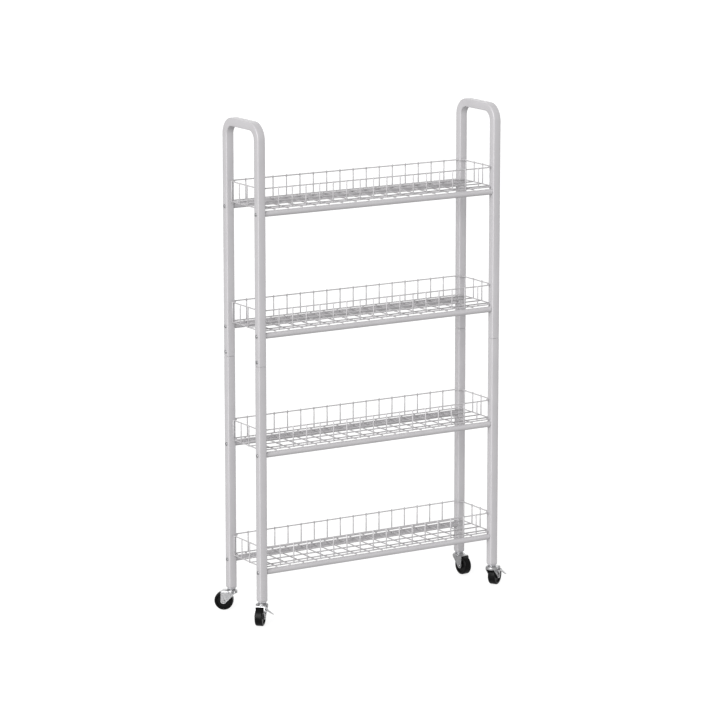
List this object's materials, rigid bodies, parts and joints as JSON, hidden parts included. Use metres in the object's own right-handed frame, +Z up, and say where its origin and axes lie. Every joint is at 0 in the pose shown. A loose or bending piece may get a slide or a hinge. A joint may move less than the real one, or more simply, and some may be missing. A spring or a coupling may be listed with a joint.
{
  "type": "rolling pantry cart",
  "caption": "Slim rolling storage cart: two square-tube end hoops carry stacked shallow wire baskets on rails, with a swivel caster under each leg and foot brakes at the front.",
  "frame": {"origin": "centre of the whole cart's footprint at floor level", "axes": "+X along the cart to the right, +Y across it from front to back, +Z up"},
  "size_m": [0.6064, 0.1778, 0.9975],
  "materials": {
    "frame_paint": "satin silver-grey powder coat",
    "wire_paint": "satin silver-grey powder coat on wire",
    "screw_zinc": "zinc plated",
    "caster_zinc": "bright zinc plate",
    "wheel_black": "moulded black plastic",
    "socket_plastic": "moulded grey plastic"
  },
  "bodies": {
    "frame": {"left_hoop": "frame_paint", "right_hoop": "frame_paint", "lower_leg_left_front": "frame_paint", "lower_leg_left_back": "frame_paint", "lower_leg_right_front": "frame_paint", "lower_leg_right_back": "frame_paint", "basket_1": "wire_paint", "basket_2": "wire_paint", "basket_3": "wire_paint", "basket_4": "wire_paint", "rail_1_front": "frame_paint", "rail_1_back": "frame_paint", "rail_2_front": "frame_paint", "rail_2_back": "frame_paint", "rail_3_front": "frame_paint", "rail_3_back": "frame_paint", "rail_4_front": "frame_paint", "rail_4_back": "frame_paint", "caster_socket_left_front": "socket_plastic", "caster_socket_left_back": "socket_plastic", "caster_socket_right_front": "socket_plastic", "caster_socket_right_back": "socket_plastic", "caster_stem_left_front": "caster_zinc", "caster_stem_left_back": "caster_zinc", "caster_stem_right_front": "caster_zinc", "caster_stem_right_back": "caster_zinc", "joint_screw_left_front": "screw_zinc", "joint_screw_left_back": "screw_zinc", "joint_screw_right_front": "screw_zinc", "joint_screw_right_back": "screw_zinc", "rail_screw_1_left_front": "screw_zinc", "rail_screw_1_left_back": "screw_zinc", "rail_screw_1_right_front": "screw_zinc", "rail_screw_1_right_back": "screw_zinc", "rail_screw_2_left_front": "screw_zinc", "rail_screw_2_left_back": "screw_zinc", "rail_screw_2_right_front": "screw_zinc", "rail_screw_2_right_back": "screw_zinc", "rail_screw_3_left_front": "screw_zinc", "rail_screw_3_left_back": "screw_zinc", "rail_screw_3_right_front": "screw_zinc", "rail_screw_3_right_back": "screw_zinc", "rail_screw_4_left_front": "screw_zinc", "rail_screw_4_left_back": "screw_zinc", "rail_screw_4_right_front": "screw_zinc", "rail_screw_4_right_back": "screw_zinc"},
    "caster_left_front": {"fork_left_front": "caster_zinc", "axle_left_front": "caster_zinc"},
    "wheel_left_front": {"wheel_left_front": "wheel_black"},
    "brake_left_front": {"brake_lever_left_front": "caster_zinc"},
    "caster_left_back": {"fork_left_back": "caster_zinc", "axle_left_back": "caster_zinc"},
    "wheel_left_back": {"wheel_left_back": "wheel_black"},
    "caster_right_front": {"fork_right_front": "caster_zinc", "axle_right_front": "caster_zinc"},
    "wheel_right_front": {"wheel_right_front": "wheel_black"},
    "brake_right_front": {"brake_lever_right_front": "caster_zinc"},
    "caster_right_back": {"fork_right_back": "caster_zinc", "axle_right_back": "caster_zinc"},
    "wheel_right_back": {"wheel_right_back": "wheel_black"}
  },
  "joints": [
    {"name": "swivel_left_front", "type": "hinge", "parent": "frame", "child": "caster_left_front", "pos_m": [-0.27342, -0.05964, 0.04], "axis": [0, 0, 1], "continuous": true},
    {"name": "roll_left_front", "type": "hinge", "parent": "caster_left_front", "child": "wheel_left_front", "pos_m": [-0.2837, -0.07028, 0.019], "axis": [0.7193, -0.6947, 0], "continuous": true},
    {"name": "brake_left_front", "type": "hinge", "parent": "caster_left_front", "child": "brake_left_front", "pos_m": [-0.27388, -0.07768, 0.0305], "axis": [0.6947, 0.7193, 0], "range_deg": [0, 20]},
    {"name": "swivel_left_back", "type": "hinge", "parent": "frame", "child": "caster_left_back", "pos_m": [-0.27342, 0.06336, 0.04], "axis": [0, 0, 1], "continuous": true},
    {"name": "roll_left_back", "type": "hinge", "parent": "caster_left_back", "child": "wheel_left_back", "pos_m": [-0.28492, 0.07268, 0.019], "axis": [-0.6293, -0.7771, 0], "continuous": true},
    {"name": "swivel_right_front", "type": "hinge", "parent": "frame", "child": "caster_right_front", "pos_m": [0.27158, -0.05964, 0.04], "axis": [0, 0, 1], "continuous": true},
    {"name": "roll_right_front", "type": "hinge", "parent": "caster_right_front", "child": "wheel_right_front", "pos_m": [0.28413, -0.0518, 0.019], "axis": [-0.5299, 0.848, 0], "continuous": true},
    {"name": "brake_right_front", "type": "hinge", "parent": "caster_right_front", "child": "brake_right_front", "pos_m": [0.28932, -0.06294, 0.0305], "axis": [0.848, 0.5299, 0], "range_deg": [0, 20]},
    {"name": "swivel_right_back", "type": "hinge", "parent": "frame", "child": "caster_right_back", "pos_m": [0.27158, 0.06336, 0.04], "axis": [0, 0, 1], "continuous": true},
    {"name": "roll_right_back", "type": "hinge", "parent": "caster_right_back", "child": "wheel_right_back", "pos_m": [0.27235, 0.04858, 0.019], "axis": [0.9986, 0.0523, 0], "continuous": true}
  ]
}
